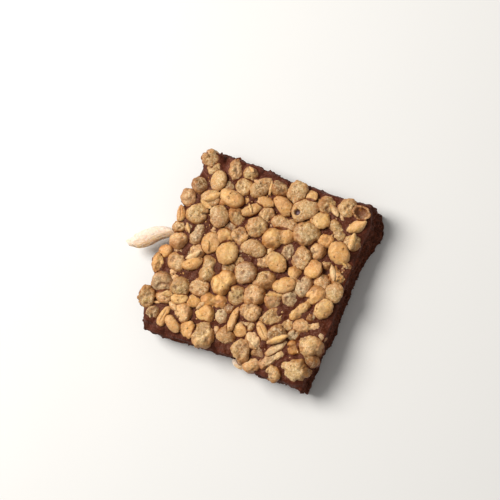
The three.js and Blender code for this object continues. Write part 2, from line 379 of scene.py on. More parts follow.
def unit(vectors):
    return vectors / np.linalg.norm(vectors, axis=-1, keepdims=True)


def ramp(values, low, high):
    """0 up to low and 1 from high on, with a smooth change between them."""
    share = np.clip((values - low) / (high - low), 0, 1)
    return share * share * (3 - 2 * share)


def noise(points, scale, seed):
    """Smooth random values from -1 to 1, with bumps about 1 / scale across."""
    spot = points * scale + 0.37 * (seed % 101)
    cell = np.floor(spot).astype(np.int64)
    share = spot - cell
    share = share * share * (3 - 2 * share)
    total = np.zeros(len(points))
    for corner in product((0, 1), repeat=3):
        # large odd numbers scramble the corner into a random value
        at = cell + corner
        mixed = at[:, 0] * 73856093 ^ at[:, 1] * 19349663 ^ at[:, 2] * 83492791 ^ int(seed) * 7919
        mixed = (mixed & 0xFFFFFFFF) * 2654435761 & 0xFFFFFFFF
        mixed = (mixed ^ (mixed >> 15)) * 2246822519 & 0xFFFFFFFF
        weight = np.where(corner, share, 1 - share).prod(axis=1)
        total += weight * ((mixed ^ (mixed >> 13)) / 0x7FFFFFFF - 1)
    return total


def ball(steps):
    """Points on a ball of radius 1 and its square faces, from a cube cut into steps a side."""
    mesh = bmesh.new()
    bmesh.ops.create_cube(mesh, size=2)
    bmesh.ops.subdivide_edges(mesh, edges=mesh.edges[:], cuts=steps - 1, use_grid_fill=True)
    points = np.array([vertex.co for vertex in mesh.verts])
    faces = np.array([[vertex.index for vertex in face.verts] for face in mesh.faces])
    mesh.free()
    return unit(np.tan(points * math.pi / 4)), faces


def rough(points, amounts, rng):
    """Several sizes of noise added up: amounts maps a scale to how strong it is."""
    return sum(
        amount * noise(points, scale, rng.integers(1000)) for scale, amount in amounts.items()
    )


def outline_noise(points, amounts, rng):
    """Noise that changes round the outline and little with height."""
    return rough(unit(points * (1, 1, 0.3)), amounts, rng)


def fixed_noise(points, rows):
    """Several sizes of noise added up, the same on every run: rows of scale, seed and strength."""
    return sum(strength * noise(points, scale, seed) for scale, seed, strength in rows)


def crest(distance, width):
    """1 where the distance is 0, fading to 0 on both sides over about a width."""
    return np.exp(-((distance / width) ** 2))


def pit(points, middle, width):
    """A round hollow about a direction, 1 in its middle and 0 outside."""
    return crest(np.arccos(np.clip(points @ middle, -1, 1)), width)


def upward(rng, spread):
    """A random direction that points more or less up."""
    return unit(np.array([*rng.normal(scale=spread, size=2), 1.0]))


def fitted(shape):
    """Shifts and scales a shape so that it just fills the box from -1 to 1."""
    low = shape.min(axis=0)
    high = shape.max(axis=0)
    return (shape - (low + high) / 2) / ((high - low) / 2)


FLATNESS = 0.58  # below 1 gives a pebble a broad top and steep flanks
STRAIGHT = 0.65  # how far down a seated grain's sides stay straight, as a share of its half height


def pebble(points, sides, softness, rng):
    """A ball worn down by flat sides that meet in rounded corners, fitted to its box."""
    step = np.arange(sides) + 0.5
    height = 1 - 2 * step / sides
    golden = math.pi * (1 + math.sqrt(5)) * step + rng.uniform(0, 6)
    level = np.sqrt(1 - height**2)
    facing = np.column_stack([level * np.cos(golden), level * np.sin(golden), height])
    facing = unit(facing + 0.2 * rng.normal(size=facing.shape))
    away = rng.uniform(0.82, 1.0, sides)
    press = np.maximum(points @ facing.T, 0) / away
    radius = (press**softness).sum(axis=1) ** (-1 / softness)
    shape = fitted(points * radius[:, None])
    shape[:, 2] = np.sign(shape[:, 2]) * np.abs(shape[:, 2]) ** FLATNESS
    return seated(shape, points)


def seated(shape, points):
    """Widens the lower half, so that a grain set in chocolate has no hollow under its sides."""
    depth = np.clip(-points[:, 2], 0, STRAIGHT)
    shape[:, :2] /= np.sqrt(1 - depth**2)[:, None]
    return shape


PLATE_EDGE = {1.3: 0.9, 3.0: 0.6, 8.0: 0.45}  # the noise round a flat grain
FLATTENED = (1, 1, 0.05)  # brings points near the plane of a flat grain


def plate(points, power, ragged, rng):
    """A flat round plate with steep sides and a ragged edge."""
    across = np.hypot(points[:, 0], points[:, 1])
    radius = (across**power + np.abs(points[:, 2]) ** power) ** (-1 / power)
    shape = points * radius[:, None]
    uneven = rough(unit(points * FLATTENED), PLATE_EDGE, rng)
    shape[:, :2] *= 1 + ragged * uneven[:, None]
    return shape


@dataclass
class Shape:
    """A grain's smooth form in millimetres, the relief on it, where shade is painted in its hollows, and
    where it is painted lighter.
    """

    form: np.ndarray
    relief: np.ndarray
    dark: np.ndarray | float = 0.0
    light: np.ndarray | float = 0.0


def curl(points, rng):
    """A crease that winds part of the way round on the top, 1 along its middle and 0 off it."""
    off = points[:, :2] - rng.uniform(-0.25, 0.25, 2)
    turn = (np.arctan2(off[:, 1], off[:, 0]) - rng.uniform(0, 2 * math.pi)) % (2 * math.pi)
    radius = rng.uniform(0.25, 0.4) + rng.uniform(0.0, 0.04) * turn
    apart = np.hypot(off[:, 0], off[:, 1]) - radius
    ends = ramp(turn, 0.2, 1.2) * ramp(turn, rng.uniform(3.0, 6.0), 2.0)
    return crest(apart, 0.13) * ends * (points[:, 2] > 0)


def cleft(points, rng):
    """A crease from near the middle out to one side, and how deep it bites into the outline."""
    turn = rng.uniform(0, 2 * math.pi)
    along, across = along_and_across(points[:, 0], points[:, 1], turn)
    across += rough(points, {3: 0.12}, rng)
    start = rng.uniform(0.0, 0.4)
    crease = crest(across, 0.12) * ramp(along, start, start + 0.35)
    bite = crest(across, 0.24) * ramp(along, 0.3, 0.8)
    return crease, bite


def fan(points, rng):
    """Ribs that spread from one end, from -1 to 1."""
    turn = rng.uniform(0, 2 * math.pi)
    root = (0.7 * math.cos(turn), 0.7 * math.sin(turn))
    angle = np.arctan2(points[:, 1] - root[1], points[:, 0] - root[0])
    wander = noise(points, 1.5, rng.integers(1000))
    return np.cos(rng.integers(12, 18) * angle + 2 * wander)


# The noise in each kind's skin: bumps for each millimetre, and how high they are in millimetres.
SKIN = {
    "puff": {0.7: 0.14, 1.5: 0.09, 3.0: 0.08},
    "burst": {1.6: 0.1, 3.6: 0.07},
    "twin": {0.8: 0.13, 1.6: 0.1, 3.2: 0.08},
    "disc": {0.5: 0.14, 1.5: 0.07, 4.0: 0.03},
    "oval": {0.6: 0.1, 1.6: 0.06, 4.0: 0.03},
    "flake": {0.8: 0.08, 2.0: 0.05, 4.5: 0.03},
    "bowl": {1.2: 0.08, 3.0: 0.04},
}
# The noise in each outline, seen from above: bumps for each radius, and their share of it.
OUTLINE = {
    "puff": {1.2: 0.08, 2.5: 0.05, 5.0: 0.03},
    "burst": {1.6: 0.07, 4.0: 0.04},
    "twin": {1.5: 0.06, 3.5: 0.06},
}
# How deep the holes and creases in each kind are, in millimetres.
MARK_DEPTH = {"puff": 0.22, "burst": 0.16, "disc": 0.12, "oval": 0.1}
# How many of a kind have each mark.
CLEFT_SHARE = 0.35
CURL_SHARE = 0.1
SPOT_SHARE = 0.35
FURROW_SHARE = 0.3
BLUNTNESS = 2.25  # 2 gives a long kernel pointed ends, more gives it blunter ones
TORN_RIM = [(2.0, 3, 1.0), (6.0, 4, 0.5)]


# Each shape is made from the points of a ball and the grain's half sizes in millimetres. Its
# lengths are shares of those until the form is multiplied by them.

def puff_shape(points, half, rng):
    """A round puffed grain: a rough pebble with small holes, and often a cleft or a curl."""
    form = pebble(points, 40, 4, rng)
    form[:, :2] *= 1 + outline_noise(points, OUTLINE["puff"], rng)[:, None]
    mark = rng.random()
    holes = 0.0
    if mark < CLEFT_SHARE:
        holes, bite = cleft(points, rng)
        form[:, :2] *= 1 - rng.uniform(0.08, 0.2) * bite[:, None]
    elif mark < CLEFT_SHARE + CURL_SHARE:
        holes = curl(points, rng)
    form *= half
    relief = rough(form, SKIN["puff"], rng)
    for width in rng.uniform(0.08, 0.2, rng.integers(0, 3)):
        holes = np.maximum(holes, pit(points, upward(rng, 0.6), width))
    # the holes, cleft and curl are also painted dark as painted shade
    return Shape(form, relief - MARK_DEPTH["puff"] * holes, dark=holes)


def burst_shape(points, half, rng):
    """A grain that burst open: lumps, craters, a torn ledge and ribs out to a jagged edge."""
    form = pebble(points, 13, 6, rng)
    ribs = rng.uniform(0.2, 1.0) * fan(points, rng)
    jagged = 0.03 * ribs + outline_noise(points, OUTLINE["burst"], rng)
    form[:, :2] *= 1 + jagged[:, None]
    form *= half
    torn = rough(form, {0.55: 1.0, 1.5: 0.35}, rng)
    ledge = np.tanh(5 * torn)
    foot_shade = crest(torn + 0.12, 0.09)
    brink = crest(torn - 0.14, 0.08)
    holes = 0.0
    for width in rng.uniform(0.1, 0.2, 3):
        holes = np.maximum(holes, pit(points, upward(rng, 0.9), width))
    relief = 0.1 * ledge + 0.02 * ribs - MARK_DEPTH["burst"] * holes
    relief += rough(form, SKIN["burst"], rng)
    # painted shade at the foot of the torn ledge and in the craters; the ledge's brink is made lighter
    return Shape(form, relief, np.maximum(0.6 * foot_shade, holes), 0.5 * brink)


def twin_shape(points, half, rng):
    """A grain of two lobes with a waist between them."""
    reach = []
    for middle, size in ((-0.42, 0.66), (0.46, rng.uniform(0.5, 0.64))):
        along = points[:, 0] * middle
        reach.append(along + np.sqrt(along**2 - middle**2 + size**2))
    apart = np.abs(reach[0] - reach[1])
    radius = np.maximum(*reach) + 0.1 * np.exp(-apart / 0.16)
    form = seated(fitted(points * radius[:, None]), points)
    form[:, 1] += rng.uniform(-0.2, 0.2) * form[:, 0] ** 2
    form[:, :2] *= 1 + outline_noise(points, OUTLINE["twin"], rng)[:, None]
    form *= half
    # painted shade in the waist between the lobes
    waist = crest(apart, 0.1) * ramp(noise(points, 2, 7), -0.3, 0.4)
    return Shape(form, rough(form, SKIN["twin"], rng), dark=0.6 * waist)


def disc_shape(points, half, rng):
    """A flat kernel: a thin plate with a ragged, slightly raised rim."""
    form = plate(points, 2.6, rng.choice([0.06, 0.08, 0.11]), rng)
    tucked = 1 - 0.2 * ramp(form[:, 2], 0.25, -0.5)
    form[:, :2] *= tucked[:, None]
    out = np.hypot(form[:, 0], form[:, 1])
    top = ramp(points[:, 2], 0.0, 0.3)
    form[:, 2] += rng.uniform(-0.25, 0.1) * top * (1 - out**2)
    form *= half
    part = ramp(noise(points, 1.0, rng.integers(1000)), -0.1, 0.4)
    rim = crest(out - rng.uniform(0.86, 0.93), 0.06) * top * part
    relief = 0.05 * rim + rough(form, SKIN["disc"], rng)
    spot = 0.0
    if rng.random() < SPOT_SHARE:
        spot = pit(points, upward(rng, 0.5), 0.12)
    # the spot's pit is painted with shade, and the raised rim is made lighter
    return Shape(form, relief - MARK_DEPTH["disc"] * spot, 0.7 * spot, rim)


def holed_shape(points, half, rng):
    """A flat kernel with a round dent near one end, painted with shade so that it reads as a hole."""
    shape = disc_shape(points, half, rng)
    apart = np.hypot(shape.form[:, 0] + 0.5 * half[0], shape.form[:, 1])
    top = ramp(points[:, 2], 0.0, 0.3)
    hole = ramp(apart, 0.62, 0.42) * top
    brink = crest(apart - 0.75, 0.14) * top
    shape.relief += 0.12 * brink - 0.55 * hole
    # the dent is painted dark, a painted shade that stands for the hole
    shape.dark = 1.6 * hole
    return shape


def oval_shape(points, half, rng):
    """A smooth long kernel with blunt ends; a few have a furrow along the top."""
    form = plate(points, 3.0, 0.08, rng)
    level = np.abs(unit(points * (1, 1, 0) + (1e-9, 0, 0)))
    form[:, :2] *= (level**BLUNTNESS).sum(axis=1)[:, None] ** (-1 / BLUNTNESS)
    out = np.hypot(form[:, 0], form[:, 1])
    form[:, 1:] *= 1 - rng.uniform(0.0, 0.2) * form[:, :1]
    form[:, 1] += rng.uniform(-0.3, 0.3) * form[:, 0] ** 2
    form = fitted(form) * half
    top = ramp(points[:, 2], 0.0, 0.4)
    furrow = 0.0
    if rng.random() < FURROW_SHARE:
        off = form[:, 1] - rng.uniform(-0.2, 0.2) * half[1]
        ends = ramp(np.abs(form[:, 0]), 0.8 * half[0], 0.3 * half[0])
        furrow = crest(off, 0.1) * top * ends
    relief = rough(form, SKIN["oval"], rng) - MARK_DEPTH["oval"] * furrow
    # painted shade in the furrow; the rim is made lighter
    return Shape(form, relief, 0.6 * furrow, 0.7 * crest(out - 0.85, 0.09) * top)


def flake_shape(points, half, rng):
    """A thin curved shell of husk with torn edges."""
    form = plate(points, 3.0, 0.06, rng)
    out = np.hypot(form[:, 0], form[:, 1])
    form[:, 2] = 0.25 * form[:, 2] - 0.4 * form[:, 1] ** 2 + 0.15 * form[:, 0] ** 2
    form[:, 1] *= 1 - 0.35 * form[:, 0] ** 2
    form = fitted(form) * half
    rim = ramp(out, 0.7, 0.9) * ramp(points[:, 2], -0.2, 0.2)
    return Shape(form, rough(form, SKIN["flake"], rng), light=rim)


def bowl_shape(points, half, rng):
    """Half an empty husk, with its thin torn rim up: the upper half is turned down inside."""
    form = plate(points, 2.4, 0.14, rng)
    out = np.hypot(form[:, 0], form[:, 1])
    inside = points[:, 2] > 0
    form[inside, :2] *= 0.74
    form[inside, 2] *= -0.8
    form[:, 2] += 0.3 * form[:, 0] + rough(points, {2.0: 0.35}, rng) * ~inside
    torn = fixed_noise(unit(points * FLATTENED), TORN_RIM)
    form[:, 2] += 0.55 * torn * ramp(out, 0.4, 1.0)
    form = fitted(form) * half
    relief = rough(form, SKIN["bowl"], rng) * ~inside
    # painted shade inside the bowl's hollow
    dark = 0.8 * inside * ramp(points[:, 2], 0.1, 0.4)
    return Shape(form, relief, dark, 0.5 * ramp(np.abs(points[:, 2]), 0.3, 0.1))


# The function that makes each kind, and the lean in degrees that few such grains go beyond.
SHAPES = {
    "puff": (puff_shape, 25),
    "burst": (burst_shape, 18),
    "twin": (twin_shape, 10),
    "disc": (disc_shape, 17),
    "oval": (oval_shape, 12),
    "flake": (flake_shape, 8),
    "holed": (holed_shape, 8),
    "bowl": (bowl_shape, 0),
}
PLUMP = 1.11  # how much wider a grain is than its dome
TOP_ROOM = 0.1  # how far a grain may stand above the CAD model
BRIGHTNESS = (0.86, 1.12)  # how much darker or lighter than its tone a grain is
TINT = (0.98, 1.02)  # and each of its red, green and blue
STAIN_AND_SHADE_HEIGHT = {"round": 0.95, "flat": 0.7}  # how far chocolate and painted shade reach up a grain
BROWNED_AND_SHADED = {"round": 0.36, "flat": 0.28}  # how dark its rim is: partly browned skin, partly painted shade towards the edge
CRACK_SHADE_REACH = 0.28  # how near another grain the crack between them is painted with shade and chocolate


def turned(shape, heading, lean_x=0.0, lean_y=0.0):
    turn = Matrix.Rotation(math.radians(heading), 3, "Z")
    turn @= Matrix.Rotation(math.radians(lean_y), 3, "Y")
    turn @= Matrix.Rotation(math.radians(lean_x), 3, "X")
    return shape @ np.array(turn).T


def outward(points, faces):
    """The direction out of the surface at each point of a mesh of squares."""
    corners = points[faces]
    across = np.cross(corners[:, 2] - corners[:, 0], corners[:, 3] - corners[:, 1])
    total = np.zeros_like(points)
    for corner in faces.T:
        np.add.at(total, corner, across)
    return unit(total)


def linear(colour):
    """A screen colour from 0 to 1 as the light that it stands for."""
    return [c / 12.92 if c <= 0.04045 else ((c + 0.055) / 1.055) ** 2.4 for c in colour]


def grain_tones(grain, shape, rng):
    """The colour at each point: patches of the tone's two colours."""
    first, second = (np.array(linear(colour)) for colour in TONES[grain.tone][:2])
    patch = ramp(rough(shape, {0.35: 1.0, 0.9: 0.3}, rng), -0.6, 0.6)
    tones = first + (second - first) * patch[:, None]
    return tones * rng.uniform(*BRIGHTNESS) * rng.uniform(*TINT, 3)


def grain_stain_and_shade(grain, neighbours, shape, out, facing, rng):
    """Chocolate and painted shade low down, under the sides and in cracks between grains, and a rim
    partly browned and partly painted shade.
    """
    build = "flat" if grain.kind in FLAT_KINDS else "round"
    ragged = rough(shape, {0.9: 0.3, 3.0: 0.15}, rng)
    # chocolate and painted shade, the more the lower down the grain
    low = ramp(shape[:, 2] + ragged, SLAB_TOP + STAIN_AND_SHADE_HEIGHT[build], SLAB_TOP)
    # painted shade where the surface turns down, with chocolate on the sides
    under = ramp(facing + ragged, 0.3, -0.4)
    # painted shade with chocolate in the crack near another grain
    crack_shade = ramp(gap_to(neighbours, shape), CRACK_SHADE_REACH, CRACK_SHADE_REACH / 3)
    # a rim darker towards the grain's edge: partly browned skin, partly painted shade
    browned_and_shaded = BROWNED_AND_SHADED[build] * ramp(out + 0.6 * ragged, 0.5, 1.05)
    return np.maximum.reduce([low, 0.6 * under, 0.95 * crack_shade, browned_and_shaded])


def grain_pale_and_highlight(shape, facing, light, rng):
    """Lighter patches on the shoulders, partly paler skin and partly painted highlight, and the light
    places of the grain's own shape.
    """
    shoulder_highlight = ramp(facing, 0.25, 0.5) * ramp(facing, 0.92, 0.7)
    patch = ramp(noise(shape, 1.1, rng.integers(1000)), -0.3, 0.4)
    return np.maximum(0.9 * shoulder_highlight * patch, light)


def grain_mesh(grain, neighbours, points, faces, rng):
    """One grain's points in place, its faces, and the tone and other marks at each point."""
    half = np.array([grain.length * PLUMP, grain.width * PLUMP, grain.height]) / 2
    make_shape, most_lean = SHAPES[grain.kind]
    made = make_shape(points, half, rng)
    out = np.hypot(made.form[:, 0] / half[0], made.form[:, 1] / half[1])
    shape = made.form + outward(made.form, faces) * made.relief[:, None]
    lean = rng.normal(scale=most_lean / 2, size=2)
    shape = turned(shape, grain.heading, lean[0], lean[1] + grain.pitch)
    highest = CAD_TOP + TOP_ROOM - shape[:, 2].max()
    shape += (grain.x, grain.y, min(grain.z, highest))
    facing = outward(shape, faces)[:, 2]
    marks = {
        "tone": grain_tones(grain, shape, rng),
        # chocolate and painted shade
        "stain": grain_stain_and_shade(grain, neighbours, shape, out, facing, rng),
        # painted shade in hollows: the shape's dark marks and wherever the relief dips
        "crease": np.maximum(made.dark, 0.6 * ramp(made.relief, -0.02, -0.16)),
        # paler skin and painted highlight on shoulders and rims
        "edge": grain_pale_and_highlight(shape, facing, made.light, rng),
        "sandy": np.full(len(shape), TONES[grain.tone][2]),
    }
    return shape, faces, marks


# ---- Pieces ----

def new_mesh(name, points, faces):
    mesh = bpy.data.meshes.new(name)
    mesh.from_pydata(points * MM, [], faces)
    return mesh


def new_object(name, data):
    made = bpy.data.objects.new(name, data)
    bpy.context.scene.collection.objects.link(made)
    return made


def points_of(mesh):
    """A mesh's points in millimetres."""
    return np.array([vertex.co for vertex in mesh.vertices]) / MM


def joined(parts):
    """The points, faces and marks of many shapes as those of one."""
    starts = np.cumsum([0] + [len(points) for points, _, _ in parts])
    points = np.concatenate([points for points, _, _ in parts])
    faces = np.concatenate([faces + start for (_, faces, _), start in zip(parts, starts)])
    marks = {label: np.concatenate([part[2][label] for part in parts]) for label in parts[0][2]}
    return points, faces, marks


def make_piece(name, points, faces, marks, material, slot, node):
    """A mesh piece that rides on the one body and takes the place of a CAD node."""
    mesh = new_mesh(name, points, faces)
    mesh.materials.append(material)
    for label, values in marks.items():
        colour = values.ndim == 2
        if colour:
            values = np.column_stack([values, np.ones(len(values))])
        layer = mesh.attributes.new(label, "FLOAT_COLOR" if colour else "FLOAT", "POINT")
        layer.data.foreach_set("color" if colour else "value", values.astype(np.float32).ravel())
    mesh.shade_smooth()
    piece = new_object(name, mesh)
    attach(piece, "root")
    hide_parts(node)
    return piece


PIECE_TRIANGLES = 190000
FINEST_STEPS = 21  # the most squares along a side of the cube that makes a grain
LOW_STEPS = 12


def near(grain, others):
    """The others that may touch a grain."""
    return [
        other
        for other in others
        if other is not grain
        and math.hypot(other.x - grain.x, other.y - grain.y) < (other.length + grain.length) / 2
    ]


def make_grains(name, grains, others, material, rng, finest=FINEST_STEPS):
    """One joined piece of many grains, as fine as the triangles allowed for a piece let it be."""
    steps = math.floor(math.sqrt(PIECE_TRIANGLES / (12 * len(grains))))
    points, faces = ball(min(steps, finest))
    parts = [grain_mesh(grain, near(grain, others), points, faces, rng) for grain in grains]
    return make_piece(name, *joined(parts), material, "puffed_grain", "puffed_grain_layer")


FEEL_FROM = 100.0


def height_at(pieces, x, y):
    """How high the topmost surface is at a place, felt for from high above."""
    highest = 0.0
    for piece in pieces:
        hit, place, _, _ = piece.ray_cast(Vector((x, y, FEEL_FROM)) * MM, Vector((0, 0, -1)))
        if hit:
            highest = max(highest, place.z / MM)
    return highest


RANDOM_HUSKS = 6
HUSK_LENGTH = (1.1, 1.9)
HUSK_SLIMNESS = (0.3, 0.6)
HUSK_LIFT = 0.25  # how far its middle is above what is under it, as a share of its height
STEEPEST = 20  # how far it may tilt, in degrees


def lay_husks(pieces, rng):
    """The chosen husks and some random ones, resting on what is under their ends."""
    rows = list(HUSKS)
    for x, y in random_spots(RANDOM_HUSKS, rng):
        length = rng.uniform(*HUSK_LENGTH)
        tone = pick(HUSK_TONES, rng)
        rows.append((tone, x, y, length, length * rng.uniform(*HUSK_SLIMNESS), rng.uniform(0, 180)))
    husks = []
    for row in rows:
        husk = grain_at("flake", *row)
        start, middle, end = (height_at(pieces, x, y) for x, y in husk.spine())
        husk.z = max(middle, (start + end) / 2) + HUSK_LIFT * husk.height
        slope = math.degrees(math.atan2(start - end, husk.length))
        husk.pitch = min(max(slope, -STEEPEST), STEEPEST)
        husks.append(husk)
    return husks


CRUMB_STEPS = 3
CRUMB_TILT = 40
GRAIN_CRUMBS = 260
GRAIN_CRUMB_SIZES = (0.15, 0.45)
CHOCOLATE_CRUMBS = 520
CHOCOLATE_CRUMB_SIZES = (0.2, 0.55)
CHOCOLATE_CRUMB_HEIGHTS = (0.5, 4.4)


def crumb_shapes(spots, sizes, rng):
    """Small angular crumbs of uneven size, one at each spot."""
    points, faces = ball(CRUMB_STEPS)
    for spot in spots:
        half = rng.uniform(*sizes) / 2 * rng.uniform(0.5, 1.0, 3)
        shape = pebble(points, 9, 6, rng) * half
        turn = (rng.uniform(0, 360), *rng.uniform(-CRUMB_TILT, CRUMB_TILT, 2))
        yield turned(shape, *turn) + spot, faces


def make_grain_crumbs(pieces, material, rng):
    """Loose bits of grain that lie on the top."""
    places = rng.uniform((FIELD_X[0], FIELD_Y[0]), (FIELD_X[1], FIELD_Y[1]), (GRAIN_CRUMBS, 2))
    spots = [(x, y, min(height_at(pieces, x, y), CAD_TOP - TOP_ROOM)) for x, y in places]
    parts = []
    for shape, faces in crumb_shapes(spots, GRAIN_CRUMB_SIZES, rng):
        every = np.ones(len(shape))
        tone = every[:, None] * linear(TONES[rng.choice(CRUMB_TONES)][0])
        stain = rng.uniform(0, 0.5) * every
        parts.append((shape, faces, {"tone": tone, "sandy": 0.5 * every, "stain": stain}))
    make_piece("grain_crumbs", *joined(parts), material, "puffed_grain", "puffed_grain_layer")


def make_chocolate_crumbs(chocolate, material, rng):
    """Crumbs that stick to the broken sides."""
    broken = np.array([mark.value for mark in chocolate.data.attributes["broken"].data])
    points = points_of(chocolate.data)
    lowest, highest = CHOCOLATE_CRUMB_HEIGHTS
    sides = points[(broken > 0.4) & (points[:, 2] > lowest) & (points[:, 2] < highest)]
    spots = sides[rng.integers(len(sides), size=CHOCOLATE_CRUMBS)]
    parts = []
    for shape, faces in crumb_shapes(spots, CHOCOLATE_CRUMB_SIZES, rng):
        every = np.ones(len(shape))
        parts.append((shape, faces, {"broken": 0.8 * every, "gap": FAR * every}))
    make_piece("chocolate_crumbs", *joined(parts), material, "chocolate", "chocolate_slab")


@dataclass
class Rice:
    """A pale puffed rice grain: an egg along its length, bent one way and swayed to both."""

    centre: tuple
    size: tuple
    heading: float
    bend: float = 0.0
    sway: float = 0.0
    egg: float = 0.0


LONG_RICE = Rice((-20.7, -0.3, 3.3), (10.6, 2.95, 2.4), 39, bend=-0.035, sway=-0.009, egg=0.42)
SHORT_RICE = Rice((2.2, -16.0, 2.4), (3.4, 3.0, 2.0), 20)
RICE_STEPS = 28
RICE_SKIN = {1.5: 0.05, 3.0: 0.04, 7.0: 0.03, 13.0: 0.015}
RICE_PITS = 16
RICE_PIT_DEPTH = 0.05  # as a share of the grain's half size


def make_rice(name, rice, material, rng):
    points, faces = ball(RICE_STEPS)
    skin = 1 + rough(points, RICE_SKIN, rng)
    pits = 0.0
    for _ in range(RICE_PITS):
        pits = np.maximum(pits, pit(points, unit(rng.normal(size=3)), rng.uniform(0.05, 0.1)))
    length, width, _ = rice.size
    shape = fitted(points * (skin - RICE_PIT_DEPTH * pits)[:, None]) * np.array(rice.size) / 2
    along = shape[:, 0].copy()
    shape[:, 1] *= 1 - 2 * rice.egg * along / length
    shape[:, 1] += rice.bend * along**2 + rice.sway * along**3
    # orange towards one side: partly toasted colour, partly painted shade on the side turned from the
    # light
    toast_and_shade = ramp(-shape[:, 1] / width + 0.12 * noise(points, 3, 5), -0.1, 0.45)
    shape = turned(shape, rice.heading) + rice.centre
    make_piece(name, shape, faces, {"toast_and_shade": toast_and_shade, "crease": pits}, material, "puffed_rice", name)


CHOCOLATE_VOXEL = 0.2
# Lumps of chocolate that hold the rice grains: the middle and half sizes of each.
RICE_COLLARS = [((-15.7, 1.2, 3.3), (1.5, 1.5, 1.5)), ((2.2, -15.4, 2.4), (2.1, 1.4, 1.4))]
# The chocolate's relief: rows of bumps for each millimetre, seed and height in millimetres.
BROKEN = [(0.55, 3, 0.22), (1.3, 4, 0.16), (2.4, 5, 0.11), (4.5, 6, 0.07)]
GRIT = [(1.6, 9, 0.07), (3.5, 11, 0.05)]
WAVES = [(0.35, 7, 0.12), (0.9, 8, 0.12)]
CREEP = 0.2  # how far the chocolate creeps up a grain
POOL = 0.75  # how much higher it stands between the grains than on the bare margins


def triangles_of(mesh):
    """A mesh's points in millimetres and its triangles."""
    mesh.calc_loop_triangles()
    return points_of(mesh), np.array([triangle.vertices[:] for triangle in mesh.loop_triangles])


def remeshed(points, faces):
    """Overlapping shapes as one closed skin of even small squares, and its normals."""
    lump = new_object("lump", new_mesh("lump", points, faces))
    remesh = lump.modifiers.new("skin", "REMESH")
    remesh.mode = "VOXEL"
    remesh.voxel_size = CHOCOLATE_VOXEL * MM
    bpy.context.view_layer.update()
    skin = lump.evaluated_get(bpy.context.evaluated_depsgraph_get()).to_mesh()
    points = points_of(skin)
    normals = np.array([vertex.normal for vertex in skin.vertices])
    faces = np.array([polygon.vertices[:] for polygon in skin.polygons])
    bpy.data.meshes.remove(lump.data)  # the object goes with it
    return points, normals, faces


def make_chocolate(grains, material):
    """The slab with broken, crumbly walls and a soft top that creeps up around the grains."""
    lump_points, lump_faces = ball(8)
    lump_faces = np.concatenate([lump_faces[:, [0, 1, 2]], lump_faces[:, [0, 2, 3]]])
    parts = [(*triangles_of(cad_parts["chocolate_slab"].data), {})]
    parts += [(lump_points * size + centre, lump_faces, {}) for centre, size in RICE_COLLARS]
    points, normals, faces = remeshed(*joined(parts)[:2])
    top = ramp(normals[:, 2], 0.7, 0.95)
    under = ramp(-normals[:, 2], 0.3, 0.8)
    wall = 1 - np.maximum(top, under)
    ridges = 0.04 - 0.45 * np.abs(noise(points, 0.9, 10))
    push = wall * (fixed_noise(points, BROKEN) + ridges)
    push += (1 - wall) * fixed_noise(points, GRIT) * (1 - 0.7 * under)
    points = points + normals * push[:, None]
    gap = gap_to(grains, points[:, :2])
    creep = CREEP * crest(gap, 0.25)
    pool = POOL * ramp(gap, 1.3, 0.4)
    points[:, 2] += top * (creep + pool + fixed_noise(points, WAVES))
    points[:, 2] = np.maximum(points[:, 2], 0)
    marks = {"broken": wall, "gap": np.where(top > 0.5, gap, FAR)}
    return make_piece("chocolate", points, faces, marks, material, "chocolate", "chocolate_slab")


# ---- Materials ----

